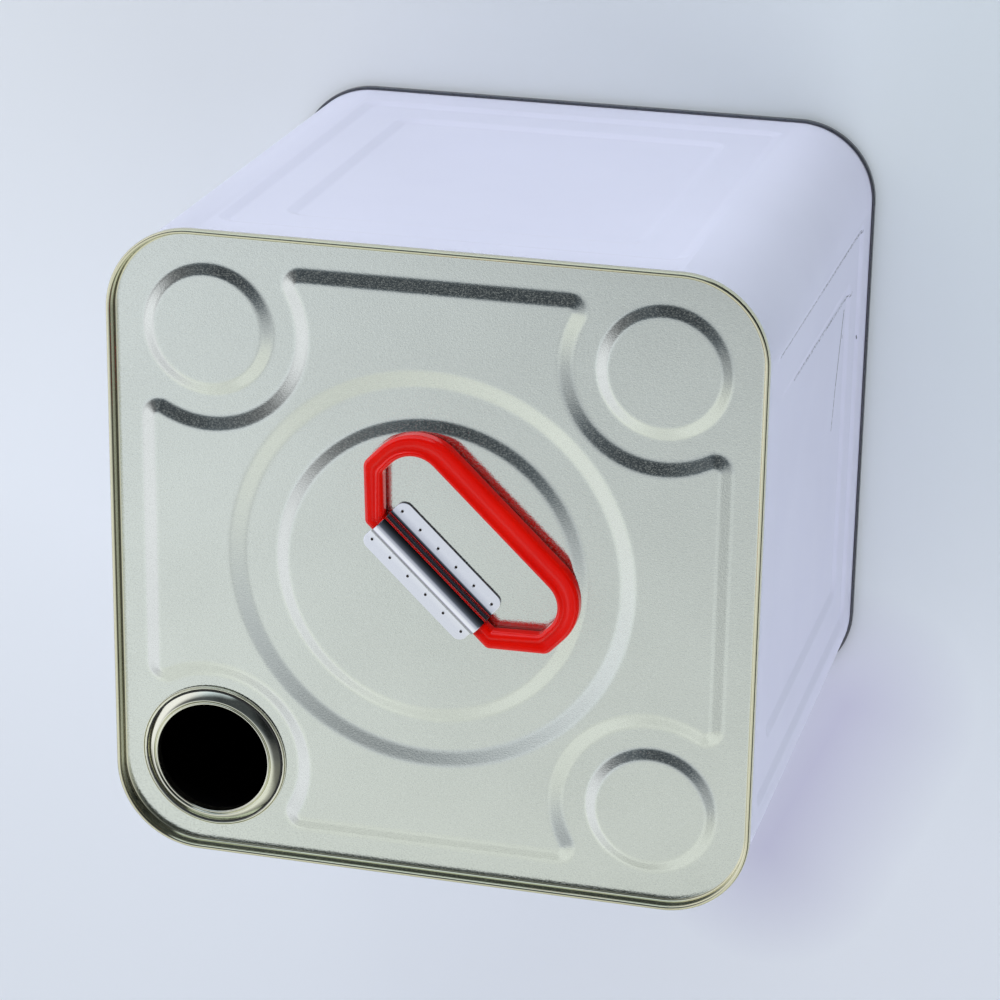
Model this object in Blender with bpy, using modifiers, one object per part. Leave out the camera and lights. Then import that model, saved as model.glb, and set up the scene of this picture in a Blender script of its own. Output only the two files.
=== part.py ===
"""A square tinplate can with a screwless open neck and a folding carry handle.

The can stands on its bottom seam. Metres, +Z up, origin at the centre of the footprint.
+X and +Y are the two sides, the neck is in the -X -Y corner, and the handle folds towards +X +Y.
"""

import math

import bmesh
import bpy
from mathutils import Vector

# Whole can
CAN_WIDTH = 0.238
CAN_HEIGHT = 0.226
SEAM_CORNER_RADIUS = 0.0315
CORNER_SEGMENTS = 6

# Rings along a pressed slope, as shares of its width
SOFT_SLOPE = (0.0, 0.3, 0.7, 1.0)
PLAIN_SLOPE = (0.0, 1.0)
SMOOTH_ANGLE = math.radians(40)

# Sheet and the running clearances
BODY_SHEET = 0.00027
END_SHEET = 0.00028
SEAM_GAP = 0.0001
SEAT_GAP = 0.0003

# Double seams
SEAM_LENGTH = 0.0033
BODY_HOOK_DROP = 0.0006
SEAM_ARC_SEGMENTS = 5
HOOK_ARC_SEGMENTS = 3
COMPOUND_SEGMENTS = 3

# Pressed rectangles in the sides
PANEL_DEPTH = 0.0012
PANEL_SLOPE = 0.005
PANEL_SIDE_LAND = 0.002
PANEL_END_LAND = 0.0155
PANEL_STEP_LAND = 0.014
PANEL_CORNER_RADIUS = 0.0075
PANEL_CORNER_SEGMENTS = 2

# Countersunk panel of both ends
COUNTERSINK_DEPTH = 0.0046
COUNTERSINK_RADIUS = 0.0008

# Top's pressed pattern
PLATEAU_BORDER = 0.0110
PLATEAU_RISE = 0.0016
PLATEAU_SLOPE = 0.006
PLATEAU_HORN_RADIUS = 0.001
CORNER_LAND = 0.0042
WALL_LAND = 0.0066
RING_LAND = 0.0030
RING_OUTER_SLOPE = 0.0070
RING_FLOOR = 0.0108
RING_INNER_SLOPE = 0.0055
RING_OUTER_STEP = 0.0010
RING_INNER_STEP = 0.0014
DISC_RADIUS = 0.0245
DISC_SLOPE = 0.005
DISC_RISE = 0.0014
RING_SEGMENTS = 48
DISC_SEGMENTS = 24
CORNER_ARC_SEGMENTS = 10
HORN_SEGMENTS = 3

# Bottom's pressed pattern
BOTTOM_BEAD_RADIUS = 0.085
BOTTOM_BEAD_SLOPE = 0.005
BOTTOM_BEAD_RISE = 0.0012

# Neck
NECK_SHEET = 0.00035
NECK_OPENING_RADIUS = 0.02115
NECK_LIP_RADIUS = 0.0010
NECK_LIP_HEIGHT = 0.0024
NECK_VALLEY_WIDTH = 0.0010
NECK_VALLEY_HEIGHT = 0.0011
NECK_RIDGE_WIDTH = 0.0028
NECK_RIDGE_HEIGHT = 0.0029
NECK_FLANGE_WIDTH = 0.0007
NECK_CLINCH_WIDTH = 0.0022
NECK_ARC_SEGMENTS = 5
NECK_SEGMENTS = 40
GASKET_HEIGHT = 0.0008

# Handle, laid out in its own plane with the hinge axis along its first direction
HANDLE_TURN = math.radians(-43.6)
HANDLE_OFFSET = 0.0015
HANDLE_THICKNESS = 0.0066
HANDLE_EDGE_RADIUS = 0.0026
HANDLE_BAR_WIDTH = 0.0064
HANDLE_ARM_WIDTH = 0.0070
HANDLE_SIDE_WIDTH = 0.0070
HANDLE_GRIP_WIDTH = 0.0089
HANDLE_HALF_LENGTH = 0.0468
HANDLE_REACH = 0.0398
HANDLE_GRIP_ROUNDING = 0.69
HANDLE_ARM_RADIUS = 0.0042
HANDLE_HEEL_RADIUS = 0.0026
HANDLE_INNER_HEEL_RADIUS = 0.0010
HANDLE_INNER_ARM_RADIUS = 0.0030
HANDLE_SIDE_PLAY = 0.0021
HANDLE_SEGMENTS = 5

# Bracket
BRACKET_SHEET = 0.0006
BRACKET_LENGTH = 0.0510
BRACKET_FLANGE_WIDTH = 0.0059
BRACKET_CORNER_RADIUS = 0.0032
BRACKET_FOOT_RADIUS = 0.0015
BAR_CLEARANCE = 0.0003
BRACKET_ARC_SEGMENTS = 12
FOOT_SEGMENTS = 4

# Double seam, worked out from the sheets: offsets run outwards from the body's outer face
HOOK_INNER = SEAM_GAP
BODY_HOOK_INNER = HOOK_INNER + END_SHEET + SEAM_GAP
BODY_HOOK_OUTER = BODY_HOOK_INNER + BODY_SHEET
SEAM_OUTER = BODY_HOOK_OUTER + SEAM_GAP + END_SHEET
CHUCK_WALL = -(BODY_SHEET + SEAM_GAP + END_SHEET)
SEAM_MIDDLE = (SEAM_OUTER + CHUCK_WALL) / 2
SEAM_ARC_RADIUS = (SEAM_OUTER - CHUCK_WALL) / 2
CURL_RADIUS = (SEAM_OUTER - HOOK_INNER) / 2
BODY_HALF = CAN_WIDTH / 2 - SEAM_OUTER
BODY_CORNER_RADIUS = SEAM_CORNER_RADIUS - SEAM_OUTER

# Levels of the top's sheet, upper face, above the can's foot
TOP_PANEL_LEVEL = CAN_HEIGHT - COUNTERSINK_DEPTH
PLATEAU_LEVEL = TOP_PANEL_LEVEL + PLATEAU_RISE
CENTRE_LEVEL = PLATEAU_LEVEL - RING_OUTER_STEP + RING_INNER_STEP

# Neck, worked out from its opening
NECK_WALL_RADIUS = NECK_OPENING_RADIUS + NECK_SHEET
NECK_HOLE_RADIUS = NECK_WALL_RADIUS + SEAT_GAP
NECK_FLANGE_RADIUS = (
    NECK_OPENING_RADIUS + 2 * NECK_LIP_RADIUS + NECK_VALLEY_WIDTH + NECK_RIDGE_WIDTH + NECK_FLANGE_WIDTH
)
PANEL_EDGE = BODY_HALF + CHUCK_WALL - COUNTERSINK_RADIUS
CORNER_CENTRE = PANEL_EDGE - WALL_LAND - NECK_FLANGE_RADIUS

# Handle and bracket, worked out from each other
AXIS_HEIGHT = max(CENTRE_LEVEL, PLATEAU_LEVEL) + SEAT_GAP + HANDLE_THICKNESS / 2
BAR_RADIUS = math.hypot(
    HANDLE_BAR_WIDTH / 2 - HANDLE_EDGE_RADIUS, HANDLE_THICKNESS / 2 - HANDLE_EDGE_RADIUS
) + HANDLE_EDGE_RADIUS
TUBE_RADIUS = BAR_RADIUS + BAR_CLEARANCE
BAR_HALF_LENGTH = BRACKET_LENGTH / 2 + HANDLE_SIDE_PLAY
HANDLE_REST_SLIDE = HANDLE_SIDE_PLAY - SEAT_GAP
HANDLE_ORIGIN = (
    -HANDLE_OFFSET * math.sin(HANDLE_TURN),
    HANDLE_OFFSET * math.cos(HANDLE_TURN),
    AXIS_HEIGHT,
)


def clear_scene():
    for old in list(bpy.data.objects):
        bpy.data.objects.remove(old, do_unlink=True)


def new_collection(name):
    collection = bpy.data.collections.new(name)
    bpy.context.scene.collection.children.link(collection)
    return collection


def new_material(name, colour, metallic, roughness):
    material = bpy.data.materials.new(name)
    material.use_nodes = True
    shader = material.node_tree.nodes["Principled BSDF"]
    shader.inputs["Base Color"].default_value = (*colour, 1.0)
    shader.inputs["Metallic"].default_value = metallic
    shader.inputs["Roughness"].default_value = roughness
    return material


def add_object(name, mesh, collection, material=None):
    made = bpy.data.objects.new(name, mesh)
    collection.objects.link(made)
    if material is not None:
        mesh.materials.append(material)
    return made


def mesh_from(bm, name):
    mesh = bpy.data.meshes.new(name)
    bm.to_mesh(mesh)
    bm.free()
    mesh.shade_smooth()
    mesh.set_sharp_from_angle(angle=SMOOTH_ANGLE)
    return mesh


def add_thickness(made, thickness):
    """Turn an open sheet into a solid of this thickness, on the side away from its normals."""
    solidify = made.modifiers.new("sheet thickness", "SOLIDIFY")
    solidify.thickness = thickness
    solidify.offset = -1.0
    solidify.use_even_offset = True
    solidify.use_quality_normals = True


def arc(centre, radius, start, end, segments):
    """Points on an arc, in degrees, both ends included."""
    points = []
    for step in range(segments + 1):
        angle = math.radians(start + (end - start) * step / segments)
        points.append((centre[0] + radius * math.cos(angle), centre[1] + radius * math.sin(angle)))
    return points


def circle(centre, radius, segments):
    return arc(centre, radius, 0, 360, segments)[:-1]


def rounded_polygon(corners, segments):
    """Round each corner (x, y, radius) of a polygon with an arc tangent to its two sides."""
    points = []
    for index, (x, y, radius) in enumerate(corners):
        here = Vector((x, y))
        before = (Vector(corners[index - 1][:2]) - here).normalized()
        after = (Vector(corners[(index + 1) % len(corners)][:2]) - here).normalized()
        half_angle = before.angle(after) / 2
        centre = here + (before + after).normalized() * (radius / math.sin(half_angle))
        first = here + before * (radius / math.tan(half_angle)) - centre
        last = here + after * (radius / math.tan(half_angle)) - centre
        sweep = first.angle_signed(last)
        start = math.atan2(first.y, first.x)
        for step in range(segments + 1):
            angle = start - sweep * step / segments
            points.append((centre.x + radius * math.cos(angle), centre.y + radius * math.sin(angle)))
    return points


def rounded_rectangle(half_x, half_y, radius, segments, middle=(0.0, 0.0)):
    x, y = middle
    corners = [
        (x + half_x, y - half_y, radius),
        (x + half_x, y + half_y, radius),
        (x - half_x, y + half_y, radius),
        (x - half_x, y - half_y, radius),
    ]
    return rounded_polygon(corners, segments)


def can_outline(offset):
    """The body's outline, moved outwards by offset."""
    half = BODY_HALF + offset
    return rounded_rectangle(half, half, BODY_CORNER_RADIUS + offset, CORNER_SEGMENTS)


def add_ring(bm, outline, height):
    return [bm.verts.new((x, y, height)) for x, y in outline]


def bridge(bm, first, second):
    """Quads between two closed rings with the same number of points."""
    count = len(first)
    for index in range(count):
        after = (index + 1) % count
        bm.faces.new((first[index], first[after], second[after], second[index]))


def bridge_all(bm, rings):
    for first, second in zip(rings, rings[1:]):
        bridge(bm, first, second)


def fill_between(bm, rings):
    """Fill the flat region inside the first ring and outside the others."""
    edges = []
    for ring in rings:
        for index, vertex in enumerate(ring):
            pair = (vertex, ring[(index + 1) % len(ring)])
            edges.append(bm.edges.get(pair) or bm.edges.new(pair))
    bmesh.ops.triangle_fill(bm, use_beauty=True, use_dissolve=False, edges=edges)


def face_outwards(bm, probe, direction):
    """Make an open sheet's normals agree, with the face nearest probe looking along direction."""
    bmesh.ops.recalc_face_normals(bm, faces=bm.faces[:])
    nearest = min(bm.faces, key=lambda face: (face.calc_center_median() - Vector(probe)).length)
    if nearest.normal.dot(Vector(direction)) < 0:
        bmesh.ops.reverse_faces(bm, faces=bm.faces[:])


def soft_step(share):
    """Height share along a pressed slope whose two edges are rounded."""
    return share * share * (3 - 2 * share)


def crown_arc(centre, radius):
    """Half circle over a seam's crown, stretched so that its level middle facet is at the full height."""
    points = arc(centre, radius, 180, 0, SEAM_ARC_SEGMENTS)
    reach = max(height for _, height in points) - centre[1]
    return [(offset, centre[1] + (height - centre[1]) * radius / reach) for offset, height in points]


def seam_rings(bm, crown):
    """Outer face of an end's seam, from the panel's edge over the crown to the tip of its hook."""
    middle_height = crown - SEAM_ARC_RADIUS
    curl_height = crown - SEAM_LENGTH + CURL_RADIUS
    hook_tip = middle_height - BODY_HOOK_DROP
    panel_height = crown - COUNTERSINK_DEPTH
    corner = (CHUCK_WALL - COUNTERSINK_RADIUS, panel_height + COUNTERSINK_RADIUS)
    section = arc(corner, COUNTERSINK_RADIUS, -90, 0, 2)
    section += crown_arc((SEAM_MIDDLE, middle_height), SEAM_ARC_RADIUS)
    curl_middle = (HOOK_INNER + SEAM_OUTER) / 2
    section += arc((curl_middle, curl_height), CURL_RADIUS, 0, -180, HOOK_ARC_SEGMENTS)
    section.append((HOOK_INNER, hook_tip))
    rings = [add_ring(bm, can_outline(offset), height) for offset, height in section]
    bridge_all(bm, rings)
    return rings[0]


def plateau_outline(grow):
    """The plateau's outline, grown by this much: a square cut back by an arc round each corner's centre."""
    half = CAN_WIDTH / 2 - PLATEAU_BORDER - PLATEAU_SLOPE
    arc_radius = NECK_FLANGE_RADIUS + CORNER_LAND + PLATEAU_SLOPE
    horn = PLATEAU_HORN_RADIUS
    inset = half - horn
    drop = math.sqrt((arc_radius + horn) ** 2 - (inset - CORNER_CENTRE) ** 2)
    first_horn = (inset, CORNER_CENTRE - drop)
    second_horn = (CORNER_CENTRE - drop, inset)
    lean = math.degrees(math.atan2(drop, CORNER_CENTRE - inset))
    centre = (CORNER_CENTRE, CORNER_CENTRE)
    quarter = arc(first_horn, horn + grow, 0, lean, HORN_SEGMENTS)
    quarter += arc(centre, arc_radius - grow, lean - 180, -90 - lean, CORNER_ARC_SEGMENTS)[1:-1]
    quarter += arc(second_horn, horn + grow, 90 - lean, 90, HORN_SEGMENTS)
    points = []
    for turn in range(4):
        for x, y in quarter:
            for _ in range(turn):
                x, y = -y, x
            points.append((x, y))
    return points


def corner_centres():
    """Neck corner first, then the three corners with discs."""
    spot = CORNER_CENTRE
    return (-spot, -spot), [(-spot, spot), (spot, spot), (spot, -spot)]


def add_circular_step(bm, centre, outer_radius, slope, low, rise, segments):
    """Rings of a slope that climbs inwards by rise, outermost first."""
    rings = []
    for share in PLAIN_SLOPE:
        radius = outer_radius - slope * share
        rings.append(add_ring(bm, circle(centre, radius, segments), low + rise * soft_step(share)))
    bridge_all(bm, rings)
    return rings


def make_top_end(collection, material):
    bm = bmesh.new()
    panel_edge = seam_rings(bm, CAN_HEIGHT)
    neck_centre, disc_centres = corner_centres()
    neck_hole = add_ring(bm, circle(neck_centre, NECK_HOLE_RADIUS, NECK_SEGMENTS), TOP_PANEL_LEVEL)
    holes = [neck_hole]
    for centre in disc_centres:
        disc = add_circular_step(
            bm, centre, DISC_RADIUS, DISC_SLOPE, TOP_PANEL_LEVEL, DISC_RISE, DISC_SEGMENTS
        )
        bm.faces.new(disc[-1])
        holes.append(disc[0])
    plateau = []
    for share in SOFT_SLOPE:
        outline = plateau_outline(PLATEAU_SLOPE * (1 - share))
        plateau.append(add_ring(bm, outline, TOP_PANEL_LEVEL + PLATEAU_RISE * soft_step(share)))
    bridge_all(bm, plateau)
    fill_between(bm, [panel_edge, plateau[0], *holes])

    arc_edge = NECK_FLANGE_RADIUS + CORNER_LAND + PLATEAU_SLOPE
    ring_radius = CORNER_CENTRE * math.sqrt(2) - arc_edge - RING_LAND
    descent = add_circular_step(
        bm, (0, 0), ring_radius, RING_OUTER_SLOPE, PLATEAU_LEVEL, -RING_OUTER_STEP, RING_SEGMENTS
    )
    fill_between(bm, [plateau[-1], descent[0]])
    inner_radius = ring_radius - RING_OUTER_SLOPE - RING_FLOOR
    floor_level = PLATEAU_LEVEL - RING_OUTER_STEP
    climb = add_circular_step(
        bm, (0, 0), inner_radius, RING_INNER_SLOPE, floor_level, RING_INNER_STEP, RING_SEGMENTS
    )
    bridge(bm, descent[-1], climb[0])
    bm.faces.new(climb[-1])
    face_outwards(bm, (0, 0, CENTRE_LEVEL), (0, 0, 1))
    made = add_object("top_end", mesh_from(bm, "top_end"), collection, material)
    add_thickness(made, END_SHEET)


def make_bottom_end(collection, material):
    """Built facing up and then turned over, so that its seam's crown is what the can stands on."""
    bm = bmesh.new()
    panel_edge = seam_rings(bm, 0.0)
    bead = add_circular_step(
        bm, (0, 0), BOTTOM_BEAD_RADIUS, BOTTOM_BEAD_SLOPE, -COUNTERSINK_DEPTH, BOTTOM_BEAD_RISE, RING_SEGMENTS
    )
    fill_between(bm, [panel_edge, bead[0]])
    bm.faces.new(bead[-1])
    face_outwards(bm, (0, 0, BOTTOM_BEAD_RISE - COUNTERSINK_DEPTH), (0, 0, 1))
    made = add_object("bottom_end", mesh_from(bm, "bottom_end"), collection, material)
    made.rotation_euler = (math.pi, 0, 0)
    add_thickness(made, END_SHEET)


def body_flange_section(bend_height, tip_height, towards):
    """Outer face of the body's flange, from its tip round the bend to the wall's end."""
    middle = BODY_HOOK_INNER / 2
    bend = arc((middle, 0.0), middle, 0, 180, HOOK_ARC_SEGMENTS)
    section = [(BODY_HOOK_INNER, tip_height)]
    section += [(offset, bend_height + towards * height) for offset, height in bend]
    return section


def side_point(side, along, depth, height):
    """A point on one of the four sides, depth in from the wall's outer face."""
    x, y = along, BODY_HALF - depth
    for _ in range(side):
        x, y = -y, x
    return (x, y, height)


def add_side(bm, side, low_ring, high_ring):
    """One flat side between two rings, with two nested pressed-in rectangles."""
    flat_half = BODY_HALF - BODY_CORNER_RADIUS
    middle_height = CAN_HEIGHT / 2
    half_length = flat_half - PANEL_SIDE_LAND
    half_height = CAN_HEIGHT / 2 - SEAM_LENGTH - PANEL_END_LAND
    per_corner = CORNER_SEGMENTS + 1
    start = (side + 2) * per_corner - 1
    corner_indices = [start % len(low_ring), (start + 1) % len(low_ring)]
    frame = [low_ring[index] for index in corner_indices]
    frame += [high_ring[index] for index in reversed(corner_indices)]
    depth = 0.0
    for level in range(2):
        inset = level * (PANEL_SLOPE + PANEL_STEP_LAND)
        rings = []
        for share in SOFT_SLOPE:
            shrink = inset + PANEL_SLOPE * share
            outline = rounded_rectangle(
                half_length - shrink,
                half_height - shrink,
                PANEL_CORNER_RADIUS - PANEL_SLOPE * share,
                PANEL_CORNER_SEGMENTS,
            )
            here = depth + PANEL_DEPTH * soft_step(share)
            rings.append(
                [bm.verts.new(side_point(side, x, here, middle_height + y)) for x, y in outline]
            )
        bridge_all(bm, rings)
        fill_between(bm, [frame, rings[0]])
        frame = rings[-1]
        depth += PANEL_DEPTH
    bm.faces.new(frame)


def make_body_shell(collection, material):
    bm = bmesh.new()
    middle_drop = SEAM_ARC_RADIUS + BODY_HOOK_DROP
    tip_drop = SEAM_LENGTH - CURL_RADIUS
    top = body_flange_section(CAN_HEIGHT - middle_drop, CAN_HEIGHT - tip_drop, 1)
    bottom = body_flange_section(middle_drop, tip_drop, -1)
    top_rings = [add_ring(bm, can_outline(offset), height) for offset, height in top]
    bottom_rings = [add_ring(bm, can_outline(offset), height) for offset, height in bottom]
    bridge_all(bm, top_rings)
    bridge_all(bm, bottom_rings)
    low, high = bottom_rings[-1], top_rings[-1]
    for side in range(4):
        add_side(bm, side, low, high)
    per_corner = CORNER_SEGMENTS + 1
    for corner in range(4):
        for step in range(CORNER_SEGMENTS):
            index = corner * per_corner + step
            bm.faces.new((low[index], low[index + 1], high[index + 1], high[index]))
    face_outwards(bm, (0, BODY_HALF - 2 * PANEL_DEPTH, CAN_HEIGHT / 2), (0, 1, 0))
    made = add_object("body_shell", mesh_from(bm, "body_shell"), collection, material)
    add_thickness(made, BODY_SHEET)


def make_seam_compound(collection, material):
    """A crescent in the seam's crown, between the end's bend and the body's, in both seams."""
    bm = bmesh.new()
    upper_radius = SEAM_ARC_RADIUS - END_SHEET - SEAM_GAP
    lower_radius = BODY_HOOK_INNER / 2 + BODY_SHEET + SEAM_GAP
    upper_height = -SEAM_ARC_RADIUS
    lower_height = upper_height - BODY_HOOK_DROP
    crossing = (
        upper_radius**2 - lower_radius**2 + BODY_HOOK_DROP**2
    ) / (2 * BODY_HOOK_DROP)
    upper_lean = math.degrees(math.asin(-crossing / upper_radius))
    lower_lean = math.degrees(math.asin((BODY_HOOK_DROP - crossing) / lower_radius))
    section = arc((SEAM_MIDDLE, upper_height), upper_radius, upper_lean, 180 - upper_lean, COMPOUND_SEGMENTS)
    section += arc((SEAM_MIDDLE, lower_height), lower_radius, 180 - lower_lean, lower_lean, COMPOUND_SEGMENTS)[1:-1]
    rings = [add_ring(bm, can_outline(offset), height) for offset, height in section]
    bridge_all(bm, rings + rings[:1])
    bmesh.ops.recalc_face_normals(bm, faces=bm.faces[:])
    mesh = mesh_from(bm, "seam_compound")
    top = add_object("top_seam_compound", mesh, collection, material)
    top.location.z = CAN_HEIGHT
    bottom = add_object("bottom_seam_compound", mesh, collection)
    bottom.rotation_euler = (math.pi, 0, 0)


def spin(name, points, closed, collection, material):
    """Turn a profile of (radius, height) points once round Z."""
    bm = bmesh.new()
    vertices = [bm.verts.new((radius, 0.0, height)) for radius, height in points]
    for first, second in zip(vertices, vertices[1:]):
        bm.edges.new((first, second))
    if closed:
        bm.edges.new((vertices[-1], vertices[0]))
    made = add_object(name, mesh_from(bm, name), collection, material)
    screw = made.modifiers.new("turned", "SCREW")
    screw.axis = "Z"
    screw.steps = NECK_SEGMENTS
    screw.render_steps = NECK_SEGMENTS
    screw.use_merge_vertices = True
    screw.merge_threshold = 0.00001
    screw.use_smooth_shade = True
    return made


def make_neck_ring(collection, material):
    """A sheet ring with an outer ridge, a valley and an inner lip, clinched under the top's sheet."""
    foot = SEAT_GAP + NECK_SHEET
    ridge_radius = NECK_RIDGE_WIDTH / 2
    lip_middle = NECK_OPENING_RADIUS + NECK_LIP_RADIUS
    lip_height = NECK_LIP_HEIGHT - NECK_LIP_RADIUS
    valley_inner = lip_middle + NECK_LIP_RADIUS
    valley_middle = valley_inner + NECK_VALLEY_WIDTH / 2
    ridge_middle = valley_inner + NECK_VALLEY_WIDTH + ridge_radius
    ridge_height = NECK_RIDGE_HEIGHT - ridge_radius
    clinch_bend = NECK_SHEET
    clinch_level = -END_SHEET - SEAT_GAP - NECK_SHEET
    clinch_middle = (NECK_OPENING_RADIUS + clinch_bend, clinch_level + clinch_bend)
    points = [(NECK_FLANGE_RADIUS, foot)]
    points += arc(
        (ridge_middle + ridge_radius + NECK_SHEET, foot + NECK_SHEET), NECK_SHEET, 270, 180, 2
    )
    points += arc((ridge_middle, ridge_height), ridge_radius, 0, 180, NECK_ARC_SEGMENTS)
    points.append((valley_middle, NECK_VALLEY_HEIGHT))
    points += arc((lip_middle, lip_height), NECK_LIP_RADIUS, 0, 180, NECK_ARC_SEGMENTS)
    points += arc(clinch_middle, clinch_bend, 180, 270, 2)
    points.append((NECK_OPENING_RADIUS + NECK_CLINCH_WIDTH, clinch_level))
    points.reverse()
    made = spin("neck_ring", points, False, collection, material)
    add_thickness(made, NECK_SHEET)
    (x, y), _ = corner_centres()
    made.location = (x, y, TOP_PANEL_LEVEL)


def make_neck_gasket(collection, material):
    """A flat ring on the top's sheet, under the neck's ridge."""
    ridge_inner = NECK_OPENING_RADIUS + 2 * NECK_LIP_RADIUS + NECK_VALLEY_WIDTH
    inner = ridge_inner + NECK_SHEET + SEAT_GAP
    outer = ridge_inner + NECK_RIDGE_WIDTH - NECK_SHEET - SEAT_GAP
    low = SEAT_GAP
    high = SEAT_GAP + GASKET_HEIGHT
    points = [(outer, high), (outer, low), (inner, low), (inner, high)]
    made = spin("neck_gasket", points, True, collection, material)
    (x, y), _ = corner_centres()
    made.location = (x, y, TOP_PANEL_LEVEL)


def strip_section():
    """Upper face of the bracket's strip across the hinge axis, as (across, height above the axis)."""
    outer = TUBE_RADIUS + BRACKET_SHEET
    flange_top = CENTRE_LEVEL + SEAT_GAP + BRACKET_SHEET - AXIS_HEIGHT
    foot_middle = (outer + BRACKET_FOOT_RADIUS, flange_top + BRACKET_FOOT_RADIUS)
    flange_end = outer + BRACKET_FOOT_RADIUS + BRACKET_FLANGE_WIDTH
    half = [(flange_end, flange_top)]
    half += arc(foot_middle, BRACKET_FOOT_RADIUS, 270, 180, FOOT_SEGMENTS)
    over = arc((0.0, 0.0), outer, 0, 180, BRACKET_ARC_SEGMENTS)
    other_half = [(-across, height) for across, height in reversed(half)]
    return half + over + other_half, flange_end


def make_handle_bracket(collection, cutters, material):
    section, flange_end = strip_section()
    bm = bmesh.new()
    row = [bm.verts.new((-BRACKET_LENGTH / 2, across, height)) for across, height in section]
    edges = [bm.edges.new(pair) for pair in zip(row, row[1:])]
    pulled = bmesh.ops.extrude_edge_only(bm, edges=edges)["geom"]
    moving = [part for part in pulled if isinstance(part, bmesh.types.BMVert)]
    bmesh.ops.translate(bm, verts=moving, vec=(BRACKET_LENGTH, 0, 0))
    face_outwards(bm, (0, 0, TUBE_RADIUS + BRACKET_SHEET), (0, 0, 1))
    made = add_object("handle_bracket", mesh_from(bm, "handle_bracket"), collection, material)
    made.location = HANDLE_ORIGIN
    made.rotation_euler.z = HANDLE_TURN
    add_thickness(made, BRACKET_SHEET)

    plate = bmesh.new()
    bmesh.ops.create_cube(plate, size=1.0)
    overhang = SEAT_GAP / 10
    size = (BRACKET_LENGTH + 2 * overhang, 2 * (flange_end + overhang), 4 * HANDLE_THICKNESS)
    bmesh.ops.scale(plate, vec=size, verts=plate.verts[:])
    upright = [edge for edge in plate.edges if abs(edge.verts[0].co.z - edge.verts[1].co.z) > overhang]
    bmesh.ops.bevel(
        plate, geom=upright, offset=BRACKET_CORNER_RADIUS, segments=4, profile=0.5, affect="EDGES"
    )
    cutter = add_object("bracket_outline", mesh_from(plate, "bracket_outline"), cutters)
    cutter.location = made.location
    cutter.rotation_euler = made.rotation_euler
    cutter.hide_render = True
    cutter.display_type = "WIRE"
    rounding = made.modifiers.new("rounded corners", "BOOLEAN")
    rounding.operation = "INTERSECT"
    rounding.object = cutter


def handle_outlines():
    """Outer and inner outlines of the handle's loop in its own plane.

    The grip's corners take a share of each side's straight length.
    """
    bar = HANDLE_BAR_WIDTH / 2
    inner_half = HANDLE_HALF_LENGTH - HANDLE_SIDE_WIDTH
    inner_reach = HANDLE_REACH - HANDLE_GRIP_WIDTH
    inner_rise = inner_half - BAR_HALF_LENGTH
    arm_shift = HANDLE_ARM_WIDTH * math.sqrt(2)
    outer_heel = BAR_HALF_LENGTH + arm_shift - 2 * bar
    outer_rise = HANDLE_HALF_LENGTH - outer_heel
    outer_radius = HANDLE_GRIP_ROUNDING * (HANDLE_REACH - outer_rise + bar)
    inner_radius = HANDLE_GRIP_ROUNDING * (inner_reach - inner_rise - bar)
    outer = [
        (outer_heel, -bar, HANDLE_HEEL_RADIUS),
        (HANDLE_HALF_LENGTH, outer_rise - bar, HANDLE_ARM_RADIUS),
        (HANDLE_HALF_LENGTH, HANDLE_REACH, outer_radius),
    ]
    inner = [
        (BAR_HALF_LENGTH, bar, HANDLE_INNER_HEEL_RADIUS),
        (inner_half, bar + inner_rise, HANDLE_INNER_ARM_RADIUS),
        (inner_half, inner_reach, inner_radius),
    ]
    outlines = []
    for half in (outer, inner):
        mirrored = [(-x, y, radius) for x, y, radius in reversed(half)]
        outlines.append(rounded_polygon(half + mirrored, HANDLE_SEGMENTS))
    return outlines


def make_carry_handle(collection, material):
    """A flat outline with a hole, as thick as the handle and with fully rounded edges."""
    curve = bpy.data.curves.new("carry_handle_outline", "CURVE")
    curve.dimensions = "2D"
    curve.fill_mode = "BOTH"
    curve.extrude = HANDLE_THICKNESS / 2 - HANDLE_EDGE_RADIUS
    curve.bevel_depth = HANDLE_EDGE_RADIUS
    curve.bevel_resolution = 2
    curve.offset = -HANDLE_EDGE_RADIUS
    for outline in handle_outlines():
        spline = curve.splines.new("POLY")
        spline.points.add(len(outline) - 1)
        for point, (x, y) in zip(spline.points, outline):
            point.co = (x + HANDLE_REST_SLIDE, y, 0.0, 1.0)
        spline.use_cyclic_u = True
    drawn = add_object("carry_handle_outline", curve, collection)
    bpy.context.view_layer.update()
    graph = bpy.context.evaluated_depsgraph_get()
    mesh = bpy.data.meshes.new_from_object(drawn.evaluated_get(graph))
    bpy.data.objects.remove(drawn, do_unlink=True)
    bm = bmesh.new()
    bm.from_mesh(mesh)
    bpy.data.meshes.remove(mesh)
    bmesh.ops.remove_doubles(bm, verts=bm.verts[:], dist=0.000001)
    bmesh.ops.recalc_face_normals(bm, faces=bm.faces[:])
    made = add_object("carry_handle", mesh_from(bm, "carry_handle"), collection, material)
    made.location = HANDLE_ORIGIN
    made.rotation_euler.z = HANDLE_TURN


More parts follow.
